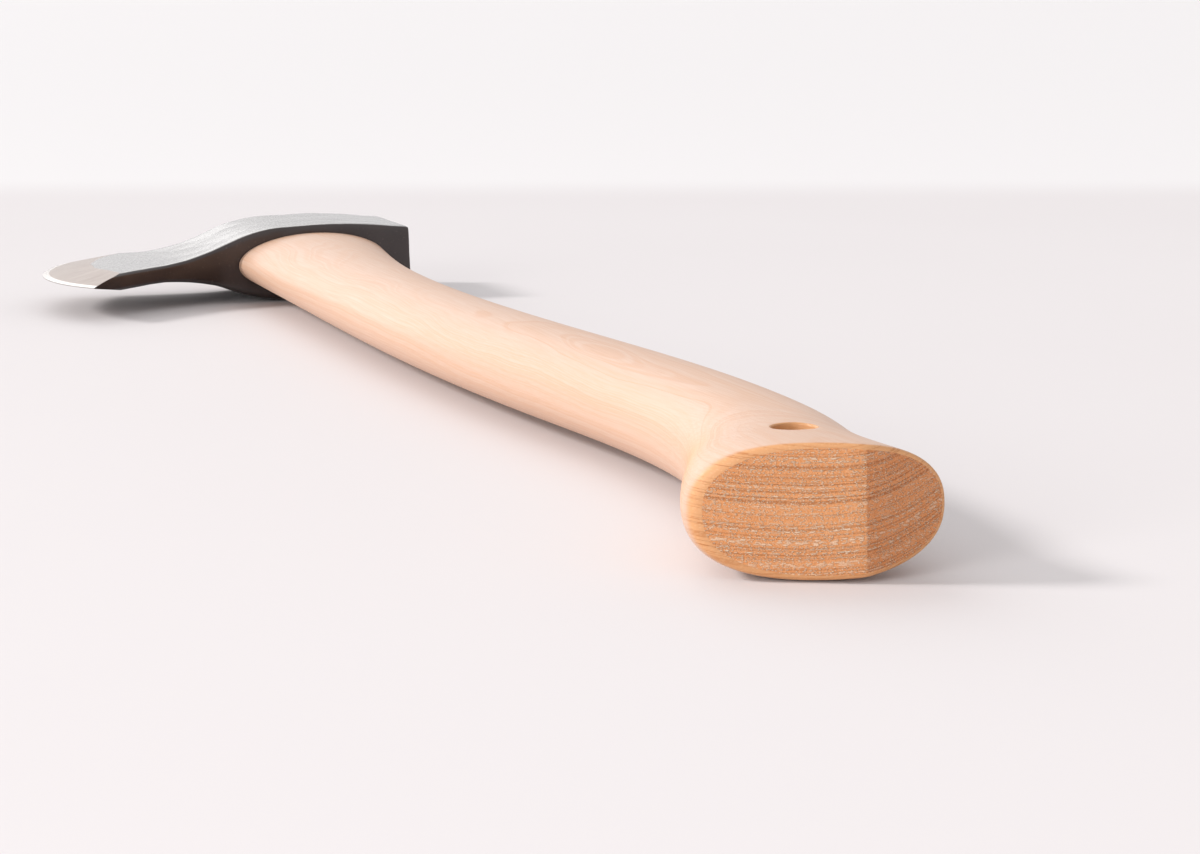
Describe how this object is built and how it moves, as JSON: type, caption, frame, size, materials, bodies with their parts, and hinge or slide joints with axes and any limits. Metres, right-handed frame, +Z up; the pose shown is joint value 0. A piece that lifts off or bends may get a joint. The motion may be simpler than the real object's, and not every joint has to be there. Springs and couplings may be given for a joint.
{
  "type": "hatchet",
  "caption": "Small forest hatchet with a bearded forged head wedged on a curved hardwood handle that ends in a swelled, drilled knob.",
  "frame": {"origin": "on the lower cheek's flat, straight under the middle of the eye; the hatchet lies on its side", "axes": "+Y along the handle from the knob to the head, +X from the cutting edge to the poll, +Z up, square to the cheeks"},
  "size_m": [0.133, 0.5028, 0.0278],
  "materials": {
    "forged_steel": "dark forge scale under clear lacquer, with a ground and honed edge",
    "ash_wood": "oiled ring-porous hardwood, satin, with a sawn end",
    "wedge_wood": "plain dry hardwood, end grain showing",
    "ring_steel": "bright turned mild steel"
  },
  "bodies": {
    "root": {"axe_head": "forged_steel", "handle": "ash_wood", "wooden_wedge": "wedge_wood", "ring_wedge": "ring_steel"}
  },
  "joints": []
}
